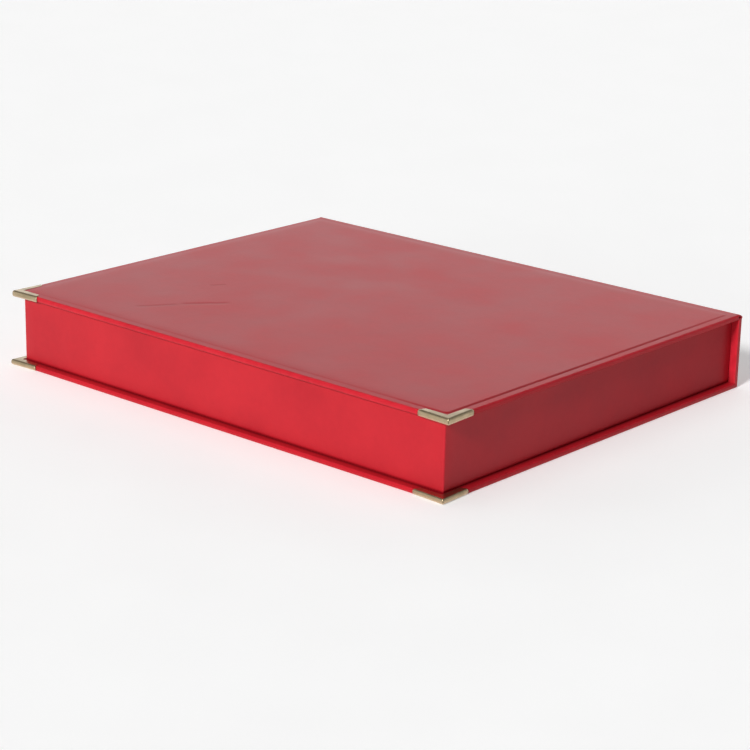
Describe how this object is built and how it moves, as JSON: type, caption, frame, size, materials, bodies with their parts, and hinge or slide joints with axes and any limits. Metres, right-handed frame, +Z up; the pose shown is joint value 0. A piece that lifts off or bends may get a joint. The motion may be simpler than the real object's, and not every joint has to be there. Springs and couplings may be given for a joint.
{
  "type": "diploma case",
  "caption": "Flat book-style presentation case with a hinged lid, a walled tray for a diploma in its cover, and metal book corners at the fore-edge.",
  "frame": {"origin": "on the table, under the middle of the case's bounding box", "axes": "+X along the hinge and the case's length, towards the right end seen from the fore-edge; +Y from the fore-edge to the spine; +Z up"},
  "size_m": [0.3228, 0.2608, 0.0436],
  "materials": {
    "leatherette": "smooth satin red",
    "greyboard": "plain uncoated board",
    "wall_lining": "plain laid ivory paper",
    "panel_lining": "ivory satin cloth on card",
    "brass": "bright stamped brass",
    "magnet_plating": "nickel plating",
    "keeper_steel": "plain sheet steel"
  },
  "bodies": {
    "case": {"base_board": "greyboard", "base_cover": "leatherette", "base_corner_left": "brass", "base_corner_right": "brass", "spine_board": "greyboard", "spine_cover": "leatherette", "spine_lining": "leatherette", "tray_floor": "greyboard", "tray_front_wall": "greyboard", "tray_back_wall": "greyboard", "tray_left_wall": "greyboard", "tray_right_wall": "greyboard", "tray_cover": "leatherette", "tray_wall_lining": "wall_lining", "floor_lining": "panel_lining", "magnet_left": "magnet_plating", "magnet_right": "magnet_plating", "hinge_cover": "leatherette", "hinge_lining": "leatherette"},
    "lid": {"lid_board": "greyboard", "lid_panel": "greyboard", "lid_cover": "leatherette", "lid_lining": "panel_lining", "keeper_left": "keeper_steel", "keeper_right": "keeper_steel", "lid_corner_left": "brass", "lid_corner_right": "brass", "lid_hinge_lining": "leatherette"}
  },
  "joints": [
    {"name": "lid_hinge", "type": "hinge", "parent": "case", "child": "lid", "pos_m": [0, 0.1288, 0.0431], "axis": [-1, 0, 0], "range_deg": [0, 189], "deforming": ["hinge_cover", "hinge_lining"]}
  ]
}
